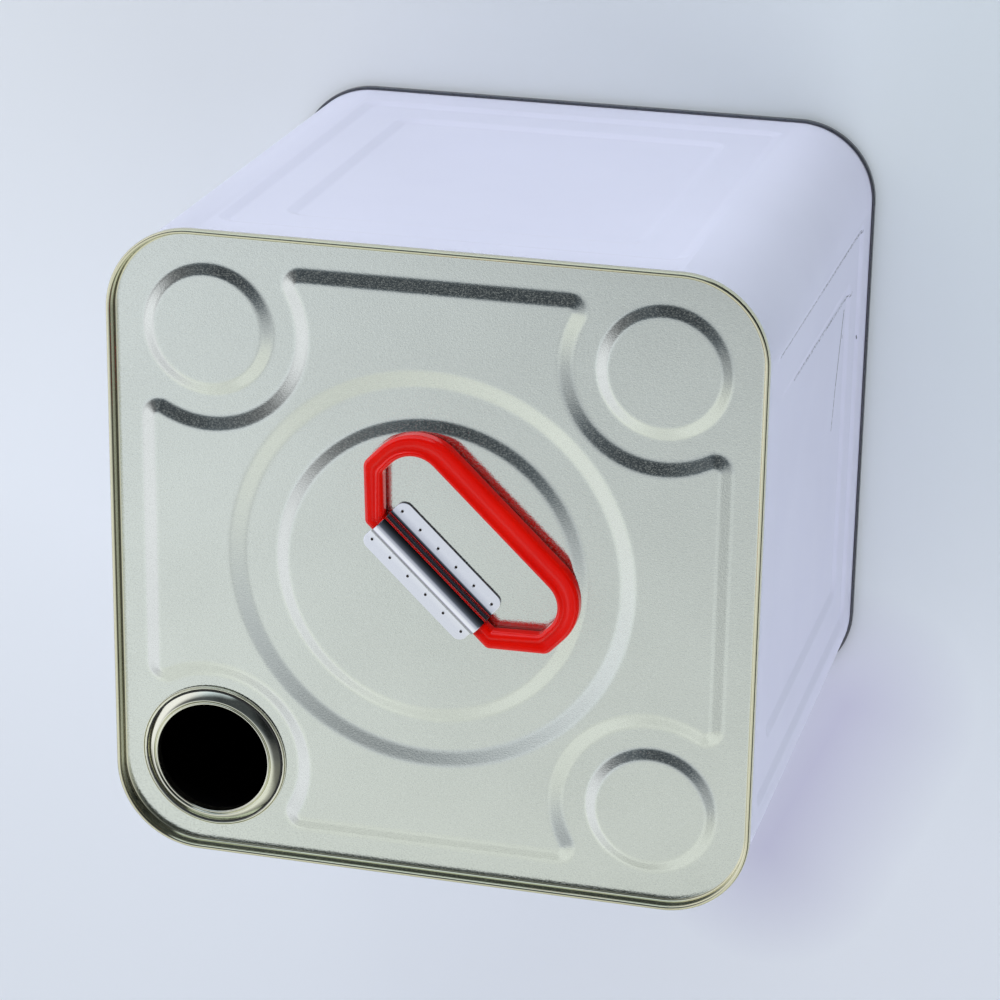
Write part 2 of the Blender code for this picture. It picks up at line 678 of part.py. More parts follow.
def main():
    clear_scene()
    can = new_collection("square_tin_can")
    cutters = new_collection("cutters")
    paint = new_material("lavender_white_paint", (0.62, 0.64, 0.80), 0.0, 0.35)
    tinplate = new_material("bright_tinplate", (0.62, 0.65, 0.60), 1.0, 0.32)
    bright = new_material("polished_tinplate", (0.80, 0.81, 0.78), 1.0, 0.12)
    strip = new_material("plated_strip", (0.72, 0.74, 0.82), 1.0, 0.10)
    red = new_material("red_plastic", (0.80, 0.012, 0.006), 0.0, 0.22)
    compound = new_material("seam_compound", (0.55, 0.53, 0.45), 0.0, 0.80)
    rubber = new_material("black_rubber", (0.02, 0.02, 0.02), 0.0, 0.70)
    make_body_shell(can, paint)
    make_top_end(can, tinplate)
    make_bottom_end(can, tinplate)
    make_seam_compound(can, compound)
    make_neck_ring(can, bright)
    make_neck_gasket(can, rubber)
    make_handle_bracket(can, cutters, strip)
    make_carry_handle(can, red)


main()
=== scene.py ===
"""Finish, light and camera for the square tin can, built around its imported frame. Metres, +Z up."""

import math

import bmesh
import bpy
from mathutils import Matrix, Vector


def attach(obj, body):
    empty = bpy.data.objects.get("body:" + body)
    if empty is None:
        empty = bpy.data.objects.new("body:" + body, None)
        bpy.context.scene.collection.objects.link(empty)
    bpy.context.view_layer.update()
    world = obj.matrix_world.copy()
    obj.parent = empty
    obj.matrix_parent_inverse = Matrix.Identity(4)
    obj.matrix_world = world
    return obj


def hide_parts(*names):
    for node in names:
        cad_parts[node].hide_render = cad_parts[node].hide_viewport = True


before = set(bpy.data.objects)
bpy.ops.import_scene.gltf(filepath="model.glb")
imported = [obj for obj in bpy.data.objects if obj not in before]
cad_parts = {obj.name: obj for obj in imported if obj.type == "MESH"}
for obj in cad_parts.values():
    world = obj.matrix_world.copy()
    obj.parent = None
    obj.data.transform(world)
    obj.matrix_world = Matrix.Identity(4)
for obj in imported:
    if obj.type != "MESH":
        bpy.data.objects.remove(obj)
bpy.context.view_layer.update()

# Can, as in the part's source
CAN_WIDTH = 0.238
CAN_HEIGHT = 0.226
SEAM_CORNER_RADIUS = 0.0315
BODY_SHEET = 0.00027
END_SHEET = 0.00028
SEAM_GAP = 0.0001
SEAT_GAP = 0.0003
SEAM_LENGTH = 0.0033
BODY_HOOK_DROP = 0.0006
COUNTERSINK_DEPTH = 0.0046
COUNTERSINK_RADIUS = 0.0008

# Pressed rectangles in the sides
PANEL_LEVELS = 2
PANEL_DEPTH = 0.0012
PANEL_SLOPE = 0.005
PANEL_SIDE_LAND = 0.002
PANEL_END_LAND = 0.0155
PANEL_STEP_LAND = 0.014
PANEL_CORNER_RADIUS = 0.0075

# Top's pressed pattern
PLATEAU_BORDER = 0.0110
PLATEAU_RISE = 0.0016
PLATEAU_SLOPE = 0.006
PLATEAU_HORN_RADIUS = 0.001
CORNER_LAND = 0.0042
WALL_LAND = 0.0066
RING_LAND = 0.0030
RING_OUTER_SLOPE = 0.0070
RING_FLOOR = 0.0108
RING_INNER_SLOPE = 0.0055
RING_OUTER_STEP = 0.0010
RING_INNER_STEP = 0.0014
DISC_RADIUS = 0.0245
DISC_SLOPE = 0.005
DISC_RISE = 0.0014
BOTTOM_BEAD_RADIUS = 0.085
BOTTOM_BEAD_SLOPE = 0.005
BOTTOM_BEAD_RISE = 0.0012

# Neck
NECK_SHEET = 0.00035
NECK_OPENING_RADIUS = 0.02115
NECK_FLANGE_RADIUS = 0.02765
NECK_LIP_RADIUS = 0.00045
NECK_LIP_HEIGHT = 0.0029
NECK_DOME_RADIUS = 0.0228
NECK_DOME_FOOT = 0.0262
NECK_DOME_HEIGHT = 0.0029
NECK_DOME_DROP = 0.0022
NECK_BEAD_RADIUS = 0.0004
NECK_CLINCH_WIDTH = 0.0022
NECK_FOOT_RADIUS = 0.0002
NECK_FOOT_OUT = 1.8 * NECK_BEAD_RADIUS
NECK_BEAD_OUT = 1.6 * NECK_BEAD_RADIUS
NECK_BEAD_SINK = 0.5 * NECK_BEAD_RADIUS
NECK_BEAD_END = 115
NECK_FALL_STRAIGHT = 0.15
NECK_FALL_CURVED = 0.85
NECK_FALL_POWER = 1.45
# The groove between dome and lip, from the dome's edge and from the lip's middle: radius added, height lost
NECK_GROOVE_OUTER = ((-0.00018, 0.00006), (-0.0003, 0.00022))
NECK_GROOVE_INNER = ((0.00062, 0.0006), (0.00048, 0.00062))

# Handle and bracket
HANDLE_TURN = math.radians(-43.6)
HANDLE_OFFSET = 0.0015
HANDLE_THICKNESS = 0.0066
HANDLE_EDGE_RADIUS = 0.0023
HANDLE_INNER_RIB_RADIUS = 0.0016
HANDLE_OUTER_RIB_RADIUS = 0.0018
HANDLE_HOLLOW_DEPTH = 0.00075
HANDLE_BAR_WIDTH = 0.0064
HANDLE_ARM_WIDTH = 0.0070
HANDLE_SIDE_WIDTH = 0.0070
HANDLE_GRIP_WIDTH = 0.0089
HANDLE_HALF_LENGTH = 0.0468
HANDLE_REACH = 0.0398
HANDLE_GRIP_ROUNDING = 0.69
HANDLE_ARM_RADIUS = 0.0042
HANDLE_HEEL_RADIUS = 0.0026
HANDLE_INNER_HEEL_RADIUS = 0.0010
HANDLE_INNER_ARM_RADIUS = 0.0030
HANDLE_SIDE_PLAY = 0.0021
HANDLE_BAR_MARGIN = 0.00005
HANDLE_HOLLOW_LIMIT = 0.14
HANDLE_HOLLOW_SKEW = 0.58
BRACKET_SHEET = 0.0006
BRACKET_LENGTH = 0.0510
BRACKET_CORNER_RADIUS = 0.0034
BRACKET_FOOT_RADIUS = 0.0015
BRACKET_FLANGE_WIDTH = 0.0059
BRACKET_EDGE_BEVEL = 0.00012
TUBE_RADIUS = 0.00382
WELD_PITCH = 0.0091
WELD_COUNT = 6
WELD_ROW_SHARE = 0.37
# A weld's raised lip, from outside to its pit: radius, and height over the flange
WELD_LIP = ((0.00085, 0.000003), (0.0007, 0.000025), (0.00064, 0.00003), (0.00054, 0.00001))

# Values that follow from those above
BODY_HOOK_INNER = 2 * SEAM_GAP + END_SHEET
SEAM_OUTER = BODY_HOOK_INNER + BODY_SHEET + SEAM_GAP + END_SHEET
CHUCK_WALL = -(BODY_SHEET + SEAM_GAP + END_SHEET)
SEAM_MIDDLE = (SEAM_OUTER + CHUCK_WALL) / 2
SEAM_ARC_RADIUS = (SEAM_OUTER - CHUCK_WALL) / 2
CURL_RADIUS = (SEAM_OUTER - SEAM_GAP) / 2
BODY_HALF = CAN_WIDTH / 2 - SEAM_OUTER
BODY_CORNER_RADIUS = SEAM_CORNER_RADIUS - SEAM_OUTER
TOP_PANEL_LEVEL = CAN_HEIGHT - COUNTERSINK_DEPTH
PLATEAU_LEVEL = TOP_PANEL_LEVEL + PLATEAU_RISE
CENTRE_LEVEL = PLATEAU_LEVEL - RING_OUTER_STEP + RING_INNER_STEP
NECK_HOLE_RADIUS = NECK_OPENING_RADIUS + NECK_SHEET + SEAT_GAP
PANEL_EDGE = BODY_HALF + CHUCK_WALL - COUNTERSINK_RADIUS
CORNER_CENTRE = PANEL_EDGE - WALL_LAND - NECK_FLANGE_RADIUS
AXIS_HEIGHT = CENTRE_LEVEL + SEAT_GAP + HANDLE_THICKNESS / 2
BAR_HALF_LENGTH = BRACKET_LENGTH / 2 + HANDLE_SIDE_PLAY
HANDLE_REST_SLIDE = HANDLE_SIDE_PLAY - SEAT_GAP
HANDLE_ORIGIN = (
    -HANDLE_OFFSET * math.sin(HANDLE_TURN),
    HANDLE_OFFSET * math.cos(HANDLE_TURN),
    AXIS_HEIGHT,
)

# Shown meshes: points on their arcs and circles, the guard points beside each bend, and the angles over
# which their edges show sharp
CORNER_STEPS = 20
CORNER_POINTS = CORNER_STEPS + 3
HORN_STEPS = 10
CUTBACK_STEPS = 30
PANEL_CORNER_STEPS = 10
COUNTERSINK_STEPS = 6
CROWN_STEPS = 14
CURL_STEPS = 10
HOOK_STEPS = 6
RING_STEPS = 192
HOLE_STEPS = 128
DISC_STEPS = 96
PRESS_STEPS = 12
PRESS_EDGE = 0.22
NECK_STEPS = 144
NECK_FOOT_STEPS = 4
NECK_BEAD_STEPS = 10
NECK_DOME_STEPS = 24
NECK_LIP_STEPS = 12
NECK_CLINCH_STEPS = 5
FLANGE_STEPS = 10
FOOT_STEPS = 8
TUBE_STEPS = 40
WELD_STEPS = 20
HANDLE_CORNER_STEPS = 14
RIB_STEPS = 10
HOLLOW_STEPS = 20
BRACKET_ROWS = (-1, -0.985, -0.9, -0.5, 0, 0.5, 0.9, 0.985, 1)
GUARD = 0.0008
HANDLE_GUARD = 0.0003
MERGE_DISTANCE = 0.000002
SMOOTH_ANGLE = math.radians(50)
SHEET_ANGLE = math.radians(55)
BEVEL_ANGLE = math.radians(60)
BEVEL_SEGMENTS = 2
HANDLE_ANGLE = math.radians(60)
NECK_ANGLE = math.radians(70)
WELD_ANGLE = math.radians(80)

# Paint, and where it is rubbed through: start, end, width and how broken the line is
PAINT = (0.66, 0.672, 0.805)
SCRATCH_COLOUR = (0.03, 0.035, 0.06)
SCRATCHES = (
    ((0.1173, 0.0810, 0.0217), (0.1173, 0.0824, 0.1930), 0.0019, 1.0),
    ((0.1158, 0.0597, 0.0347), (0.1158, 0.0618, 0.1546), 0.0014, 1.05),
    ((0.1155, 0.0555, 0.0456), (0.1155, 0.0435, 0.0513), 0.0014, 0.8),
    ((0.1155, 0.0435, 0.0513), (0.1155, 0.0291, 0.0575), 0.0014, 0.8),
    ((0.1155, 0.0291, 0.0575), (0.1155, 0.0126, 0.0630), 0.0013, 0.9),
    ((0.1160, 0.0460, 0.0473), (0.1160, 0.0451, 0.0470), 0.0009, 0.2),
    ((0.1172, 0.0383, 0.0216), (0.1172, 0.0374, 0.0213), 0.0009, 0.2),
)
SCRATCH_SOFT = 0.2
# A line shows where the noise is above these levels times how broken it is, with this much of an edge, and
# on the side where X is above these values
SCRATCH_BREAK = (0.48, 0.52)
SCRATCH_BREAK_EDGE = 0.02
SCRATCH_SIDE = (0.108, 0.109)

# Surround's brightness: rooms run along north and sides along east, as place from -1 to 1, and level
WORLD_LEVEL = 0.86
WEST_ROOM = (
    (-0.9, 1.1), (-0.45, 1.06), (-0.32, 1.06), (-0.2, 0.96), (-0.08, 0.68), (0.0, 0.4), (0.07, 0.2),
    (0.3, 0.1), (0.9, 0.1),
)
EAST_ROOM = (
    (-0.9, 1.07), (-0.45, 1.0), (-0.36, 0.92), (-0.3, 0.74), (-0.2, 0.68), (-0.08, 0.47), (0.0, 0.3),
    (0.07, 0.14), (0.3, 0.07), (0.9, 0.07),
)
SIDES = (
    (-0.85, 1.16), (-0.6, 1.09), (-0.45, 1.11), (-0.25, 0.99), (-0.15, 0.96), (0.0, 1.08), (0.35, 1.06),
    (0.48, 0.7), (0.62, 0.25), (1.0, 0.12),
)
# The highest level that a ramp can hold, how far the horizon dims, and the room low in the north-west as a
# share of the highest level
RAMP_TOP = 2.0
HORIZON = (0.35, 0.35, 0.35)
FULL = (1.0, 1.0, 1.0)
BACK_ROOM = (0.55, 0.55, 0.55)
BACK_SLANT = 1.2

# Tints of the surround and the floor; on the floor, a painted shade to the north-east and a painted lavender
# shadow beside the can
NORTH_TINT = (0.95, 1.0, 1.1)
SOUTH_TINT = (0.965, 1.0, 0.99)
WEST_TINT = (0.99, 1.0, 1.1)
DUSK_TINT = (0.86, 1.0, 1.2)
FLOOR_PALE = (0.715, 0.75, 0.79)
FLOOR_PAINTED_SHADE = (0.60, 0.655, 0.69)
FLOOR_SHADOW_LAVENDER = (0.53, 0.53, 0.645)
FLOOR_GLOW = 0.15
FLOOR_GLOSS = 0.1
FLOOR_HALF = 6.0
# Where the floor's painted shade starts and ends, along east and along north
FLOOR_SHADE_EAST = (-0.1, 0.15)
FLOOR_SHADE_NORTH = (-0.2, 0.1)
# A painted lavender shadow on the floor beside the can, for its shade and the bounce of its paint: start,
# end, width, softness and axes
FLOOR_SHADOW_STROKE = ((0.118, -0.13, 0.0), (0.087, -0.2, 0.0), 0.055, 1.0, (1, 1, 0))

# Lamps: name, point lit, direction, distance, width, height, watts and colour
LAMPS = (
    ("window", (0, 0, 0.2), (-0.55, 0.66, 0.52), 1.7, 1.6, 0.14, 6, (1.0, 1.0, 1.0)),
    ("north_softbox", (0, 0, 0.1), (0.22, 0.95, 0.36), 2.9, 2.8, 1.9, 40, (1.0, 0.985, 0.95)),
    ("south_softbox", (0, 0, 0.1), (0.66, -0.75, 0.33), 3.2, 3.4, 1.9, 65, (0.96, 0.97, 1.08)),
)

# The photograph's camera
IMAGE_WIDTH = 1000
FOCAL_LENGTH = 3455.9
SENSOR_WIDTH = 36.0
CAMERA_CLIP = 20.0
CAMERA_PLACE = (0.3103, 0.4480, 1.3189)
CAMERA_FORWARD = (-0.2362, -0.3461, -0.9080)
CAMERA_UP = (-0.1024, 0.9381, -0.3309)


# Outlines


def clamp(value, top=1.0):
    return min(max(value, 0.0), top)


def arc(centre, radius, start, end, steps):
    """Points on an arc, in degrees, both ends included."""
    points = []
    for step in range(steps + 1):
        angle = math.radians(start + (end - start) * step / steps)
        points.append((centre[0] + radius * math.cos(angle), centre[1] + radius * math.sin(angle)))
    return points


def circle(centre, radius, steps):
    return arc(centre, radius, 0, 360, steps)[:-1]


def rounded_polygon(corners, steps, guard=GUARD):
    """Round each corner (x, y, radius) with an arc, and add a point on the straight beside each end."""
    points = []
    for index, (x, y, radius) in enumerate(corners):
        here = Vector((x, y))
        before = (Vector(corners[index - 1][:2]) - here).normalized()
        after = (Vector(corners[(index + 1) % len(corners)][:2]) - here).normalized()
        half_angle = before.angle(after) / 2
        reach = radius / math.tan(half_angle)
        centre = here + (before + after).normalized() * (radius / math.sin(half_angle))
        first = here + before * reach - centre
        sweep = first.angle_signed(here + after * reach - centre)
        start = math.atan2(first.y, first.x)
        points.append(tuple(here + before * (reach + guard)))
        for step in range(steps + 1):
            angle = start - sweep * step / steps
            points.append((centre.x + radius * math.cos(angle), centre.y + radius * math.sin(angle)))
        points.append(tuple(here + after * (reach + guard)))
    return points


def rounded_rectangle(half_x, half_y, radius, steps):
    corners = [(half_x, -half_y), (half_x, half_y), (-half_x, half_y), (-half_x, -half_y)]
    return rounded_polygon([(x, y, radius) for x, y in corners], steps)


def can_outline(offset):
    """The body's outline, moved outwards by offset."""
    half = BODY_HALF + offset
    return rounded_rectangle(half, half, BODY_CORNER_RADIUS + offset, CORNER_STEPS)


def plateau_outline(grow):
    """The plateau's outline, grown by this much: a square cut back by an arc round each corner's centre."""
    half = CAN_WIDTH / 2 - PLATEAU_BORDER - PLATEAU_SLOPE
    arc_radius = NECK_FLANGE_RADIUS + CORNER_LAND + PLATEAU_SLOPE
    horn = PLATEAU_HORN_RADIUS
    inset = half - horn
    drop = math.sqrt((arc_radius + horn) ** 2 - (inset - CORNER_CENTRE) ** 2)
    lean = math.degrees(math.atan2(drop, CORNER_CENTRE - inset))
    first, second = (inset, CORNER_CENTRE - drop), (CORNER_CENTRE - drop, inset)
    quarter = [(inset + horn + grow, first[1] - GUARD)]
    quarter += arc(first, horn + grow, 0, lean, HORN_STEPS)
    cutback = arc((CORNER_CENTRE, CORNER_CENTRE), arc_radius - grow, lean - 180, -90 - lean, CUTBACK_STEPS)
    quarter += cutback[1:-1]
    quarter += arc(second, horn + grow, 90 - lean, 90, HORN_STEPS)
    quarter.append((second[0] - GUARD, inset + horn + grow))
    points = []
    for turn in range(4):
        for x, y in quarter:
            for _ in range(turn):
                x, y = -y, x
            points.append((x, y))
    return points


def pressed(share):
    """Height share along a pressed slope: straight, with a small radius at its foot and at its top."""
    share = clamp(share)
    mirrored = share > 0.5
    near = 1 - share if mirrored else share
    if near < PRESS_EDGE:
        height = near * near / (2 * PRESS_EDGE * (1 - PRESS_EDGE))
    else:
        height = (near - PRESS_EDGE / 2) / (1 - PRESS_EDGE)
    return 1 - height if mirrored else height


def press_shares(slope):
    guard = GUARD / slope
    return [-guard] + [step / PRESS_STEPS for step in range(PRESS_STEPS + 1)] + [1 + guard]


# Meshes


def add_ring(bm, outline, height):
    return [bm.verts.new((x, y, height)) for x, y in outline]


def bridge(bm, first, second, slot=0):
    count = len(first)
    for index in range(count):
        after = (index + 1) % count
        face = bm.faces.new((first[index], first[after], second[after], second[index]))
        face.material_index = slot


def bridge_all(bm, rings, slot=0):
    for first, second in zip(rings, rings[1:]):
        bridge(bm, first, second, slot)


def fill_between(bm, rings):
    edges = []
    for ring in rings:
        for index, vertex in enumerate(ring):
            pair = (vertex, ring[(index + 1) % len(ring)])
            edges.append(bm.edges.get(pair) or bm.edges.new(pair))
    bmesh.ops.triangle_fill(bm, use_beauty=True, use_dissolve=False, edges=edges)


def face_outwards(bm, probe, direction):
    bmesh.ops.recalc_face_normals(bm, faces=bm.faces[:])
    nearest = min(bm.faces, key=lambda face: (face.calc_center_median() - Vector(probe)).length)
    if nearest.normal.dot(Vector(direction)) < 0:
        bmesh.ops.reverse_faces(bm, faces=bm.faces[:])


def show(name, bm, materials, smooth=SMOOTH_ANGLE):
    """A shown object from a bmesh, shaded smooth over edges up to that angle."""
    mesh = bpy.data.meshes.new(name)
    bm.to_mesh(mesh)
    bm.free()
    for material in materials:
        mesh.materials.append(material)
    mesh.shade_smooth()
    mesh.set_sharp_from_angle(angle=smooth)
    made = bpy.data.objects.new(name, mesh)
    bpy.context.scene.collection.objects.link(made)
    return made


def thicken(made, thickness, inner_slot, bevel=0.0):
    """Give an open surface its sheet's thickness, bevel the sheet's edges if asked, and mark sharp edges."""
    solid = made.modifiers.new("sheet", "SOLIDIFY")
    solid.thickness = thickness
    solid.offset = -1.0
    solid.use_even_offset = True
    solid.material_offset = inner_slot
    solid.material_offset_rim = 0
    if bevel:
        rounded = made.modifiers.new("rolled edges", "BEVEL")
        rounded.width = bevel
        rounded.segments = BEVEL_SEGMENTS
        rounded.limit_method = "ANGLE"
        rounded.angle_limit = BEVEL_ANGLE
    bpy.context.view_layer.update()
    graph = bpy.context.evaluated_depsgraph_get()
    mesh = bpy.data.meshes.new_from_object(made.evaluated_get(graph))
    made.modifiers.clear()
    made.data = mesh
    mesh.shade_smooth()
    mesh.set_sharp_from_angle(angle=SHEET_ANGLE)


def stand_for(piece, node, body):
    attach(piece, body)
    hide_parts(node)


# Ends


def seam_rings(bm, crown):
    """Outer face of an end's seam, from a flat strip of panel over the crown to the hook's tip."""
    middle_height = crown - SEAM_ARC_RADIUS
    curl_height = crown - SEAM_LENGTH + CURL_RADIUS
    panel_height = crown - COUNTERSINK_DEPTH
    corner = (CHUCK_WALL - COUNTERSINK_RADIUS, panel_height + COUNTERSINK_RADIUS)
    section = [(corner[0] - GUARD, panel_height)]
    section += arc(corner, COUNTERSINK_RADIUS, -90, 0, COUNTERSINK_STEPS)
    section += arc((SEAM_MIDDLE, middle_height), SEAM_ARC_RADIUS, 180, 0, CROWN_STEPS)
    section += arc(((SEAM_GAP + SEAM_OUTER) / 2, curl_height), CURL_RADIUS, 0, -180, CURL_STEPS)
    section.append((SEAM_GAP, middle_height - BODY_HOOK_DROP))
    rings = [add_ring(bm, can_outline(offset), height) for offset, height in section]
    bridge(bm, rings[0], rings[1])
    bridge_all(bm, rings[1:], 1)
    return rings[0]


def circular_step(bm, centre, outer_radius, slope, low, rise, steps):
    rings = []
    for share in press_shares(slope):
        outline = circle(centre, outer_radius - slope * share, steps)
        rings.append(add_ring(bm, outline, low + rise * pressed(share)))
    bridge_all(bm, rings)
    return rings


def make_top_end(materials):
    bm = bmesh.new()
    spot = CORNER_CENTRE
    panel_edge = seam_rings(bm, CAN_HEIGHT)
    holes = [add_ring(bm, circle((-spot, -spot), NECK_HOLE_RADIUS, HOLE_STEPS), TOP_PANEL_LEVEL)]
    for centre in ((-spot, spot), (spot, spot), (spot, -spot)):
        disc = circular_step(
            bm, centre, DISC_RADIUS, DISC_SLOPE, TOP_PANEL_LEVEL, DISC_RISE, DISC_STEPS
        )
        bm.faces.new(disc[-1])
        holes.append(disc[0])
    plateau = []
    for share in press_shares(PLATEAU_SLOPE):
        outline = plateau_outline(PLATEAU_SLOPE * (1 - share))
        plateau.append(add_ring(bm, outline, TOP_PANEL_LEVEL + PLATEAU_RISE * pressed(share)))
    bridge_all(bm, plateau)
    fill_between(bm, [panel_edge, plateau[0], *holes])

    arc_edge = NECK_FLANGE_RADIUS + CORNER_LAND + PLATEAU_SLOPE
    ring_radius = CORNER_CENTRE * math.sqrt(2) - arc_edge - RING_LAND
    descent = circular_step(
        bm, (0, 0), ring_radius, RING_OUTER_SLOPE, PLATEAU_LEVEL, -RING_OUTER_STEP, RING_STEPS
    )
    fill_between(bm, [plateau[-1], descent[0]])
    inner_radius = ring_radius - RING_OUTER_SLOPE - RING_FLOOR
    floor = PLATEAU_LEVEL - RING_OUTER_STEP
    climb = circular_step(
        bm, (0, 0), inner_radius, RING_INNER_SLOPE, floor, RING_INNER_STEP, RING_STEPS
    )
    bridge(bm, descent[-1], climb[0])
    bm.faces.new(climb[-1])
    face_outwards(bm, (0, 0, CENTRE_LEVEL), (0, 0, 1))
    made = show("pressed_top", bm, materials)
    thicken(made, END_SHEET, inner_slot=2)
    stand_for(made, "top_end", "can")


def make_bottom_end(materials):
    bm = bmesh.new()
    panel_edge = seam_rings(bm, 0.0)
    bead_size = BOTTOM_BEAD_RADIUS, BOTTOM_BEAD_SLOPE, -COUNTERSINK_DEPTH, BOTTOM_BEAD_RISE
    bead = circular_step(bm, (0, 0), *bead_size, RING_STEPS)
    fill_between(bm, [panel_edge, bead[0]])
    bm.faces.new(bead[-1])
    face_outwards(bm, (0, 0, BOTTOM_BEAD_RISE - COUNTERSINK_DEPTH), (0, 0, 1))
    bmesh.ops.rotate(bm, verts=bm.verts[:], cent=(0, 0, 0), matrix=Matrix.Rotation(math.pi, 3, "X"))
    made = show("pressed_bottom", bm, materials)
    thicken(made, END_SHEET, inner_slot=2)
    stand_for(made, "bottom_end", "can")


# Body


def side_point(side, along, depth, height):
    x, y = along, BODY_HALF - depth
    for _ in range(side):
        x, y = -y, x
    return (x, y, height)


def add_side(bm, side, low_ring, high_ring):
    """One flat side between two rings, with two nested pressed-in rectangles."""
    flat_half = BODY_HALF - BODY_CORNER_RADIUS
    half_length = flat_half - PANEL_SIDE_LAND
    half_height = CAN_HEIGHT / 2 - SEAM_LENGTH - PANEL_END_LAND
    start = (side + 2) * CORNER_POINTS - 1
    ends = [start % len(low_ring), (start + 1) % len(low_ring)]
    frame_ring = [low_ring[index] for index in ends] + [high_ring[index] for index in reversed(ends)]
    depth = 0.0
    for level in range(PANEL_LEVELS):
        inset = level * (PANEL_SLOPE + PANEL_STEP_LAND)
        rings = []
        for share in press_shares(PANEL_SLOPE):
            shrink = inset + PANEL_SLOPE * share
            radius = PANEL_CORNER_RADIUS - PANEL_SLOPE * share
            half_sides = half_length - shrink, half_height - shrink
            outline = rounded_rectangle(*half_sides, radius, PANEL_CORNER_STEPS)
            here = depth + PANEL_DEPTH * pressed(share)
            rings.append(
                [bm.verts.new(side_point(side, x, here, CAN_HEIGHT / 2 + y)) for x, y in outline]
            )
        bridge_all(bm, rings)
        fill_between(bm, [frame_ring, rings[0]])
        frame_ring = rings[-1]
        depth += PANEL_DEPTH
    bm.faces.new(frame_ring)


def make_body(materials):
    bm = bmesh.new()
    middle = BODY_HOOK_INNER / 2
    bend_drop = SEAM_ARC_RADIUS + BODY_HOOK_DROP
    tip_drop = SEAM_LENGTH - CURL_RADIUS
    bend = [(BODY_HOOK_INNER, bend_drop - tip_drop)] + arc((middle, 0.0), middle, 0, 180, HOOK_STEPS)
    top = [add_ring(bm, can_outline(offset), CAN_HEIGHT - bend_drop + up) for offset, up in bend]
    bottom = [add_ring(bm, can_outline(offset), bend_drop - up) for offset, up in bend]
    bridge_all(bm, top)
    bridge_all(bm, bottom)
    low, high = bottom[-1], top[-1]
    for side in range(4):
        add_side(bm, side, low, high)
    for corner in range(4):
        for step in range(CORNER_POINTS - 1):
            index = corner * CORNER_POINTS + step
            bm.faces.new((low[index], low[index + 1], high[index + 1], high[index]))
    face_outwards(bm, (0, BODY_HALF - PANEL_LEVELS * PANEL_DEPTH, CAN_HEIGHT / 2), (0, 1, 0))
    made = show("painted_body", bm, materials)
    thicken(made, BODY_SHEET, inner_slot=1)
    stand_for(made, "body_shell", "can")


# Neck


def make_neck(materials):
    """The clinched mouth: a small bead at the foot, a dome that rises inwards, and a rolled lip."""
    foot = SEAT_GAP + NECK_SHEET
    lip_middle = NECK_OPENING_RADIUS + NECK_LIP_RADIUS
    lip_height = NECK_LIP_HEIGHT - NECK_LIP_RADIUS
    clinch_level = -END_SHEET - SEAT_GAP - NECK_SHEET
    clinch_middle = (NECK_OPENING_RADIUS + NECK_SHEET, clinch_level + NECK_SHEET)
    bead_middle = NECK_DOME_FOOT + NECK_BEAD_OUT
    bead_height = NECK_DOME_HEIGHT - NECK_DOME_DROP - NECK_BEAD_SINK
    foot_middle = (bead_middle + NECK_FOOT_OUT, foot + NECK_FOOT_RADIUS)
    points = [(NECK_FLANGE_RADIUS, foot)]
    points += arc(foot_middle, NECK_FOOT_RADIUS, 270, 180, NECK_FOOT_STEPS)
    points += arc((bead_middle, bead_height), NECK_BEAD_RADIUS, 0, NECK_BEAD_END, NECK_BEAD_STEPS)
    dome_width = NECK_DOME_FOOT - NECK_DOME_RADIUS
    for step in range(NECK_DOME_STEPS + 1):
        share = 1 - step / NECK_DOME_STEPS
        curve = NECK_FALL_STRAIGHT * share + NECK_FALL_CURVED * share**NECK_FALL_POWER
        points.append((NECK_DOME_RADIUS + dome_width * share, NECK_DOME_HEIGHT - NECK_DOME_DROP * curve))
    points += [(NECK_DOME_RADIUS + out, NECK_DOME_HEIGHT - down) for out, down in NECK_GROOVE_OUTER]
    points += [(lip_middle + out, NECK_LIP_HEIGHT - down) for out, down in NECK_GROOVE_INNER]
    points += arc((lip_middle, lip_height), NECK_LIP_RADIUS, 10, 180, NECK_LIP_STEPS)
    points += arc(clinch_middle, NECK_SHEET, 180, 270, NECK_CLINCH_STEPS)
    points.append((NECK_OPENING_RADIUS + NECK_CLINCH_WIDTH, clinch_level))
    bm = bmesh.new()
    row = [bm.verts.new((radius, 0, height)) for radius, height in points]
    edges = [bm.edges.new(pair) for pair in zip(row, row[1:])]
    bmesh.ops.spin(
        bm,
        geom=row + edges,
        cent=(0, 0, 0),
        axis=(0, 0, 1),
        angle=2 * math.pi,
        steps=NECK_STEPS,
        use_merge=True,
    )
    bmesh.ops.remove_doubles(bm, verts=bm.verts[:], dist=MERGE_DISTANCE)
    face_outwards(bm, (NECK_DOME_RADIUS, 0, NECK_DOME_HEIGHT), (0, 0, 1))
    bmesh.ops.translate(bm, verts=bm.verts[:], vec=(-CORNER_CENTRE, -CORNER_CENTRE, TOP_PANEL_LEVEL))
    made = show("rolled_neck", bm, materials, NECK_ANGLE)
    thicken(made, NECK_SHEET, inner_slot=0)
    stand_for(made, "neck_ring", "can")


# Bracket


def to_hinge(bm):
    """Turn a mesh laid out on the hinge axis into its place on the can."""
    bmesh.ops.rotate(bm, verts=bm.verts[:], cent=(0, 0, 0), matrix=Matrix.Rotation(HANDLE_TURN, 3, "Z"))
    bmesh.ops.translate(bm, verts=bm.verts[:], vec=HANDLE_ORIGIN)


def flange_top():
    return CENTRE_LEVEL + SEAT_GAP + BRACKET_SHEET - AXIS_HEIGHT


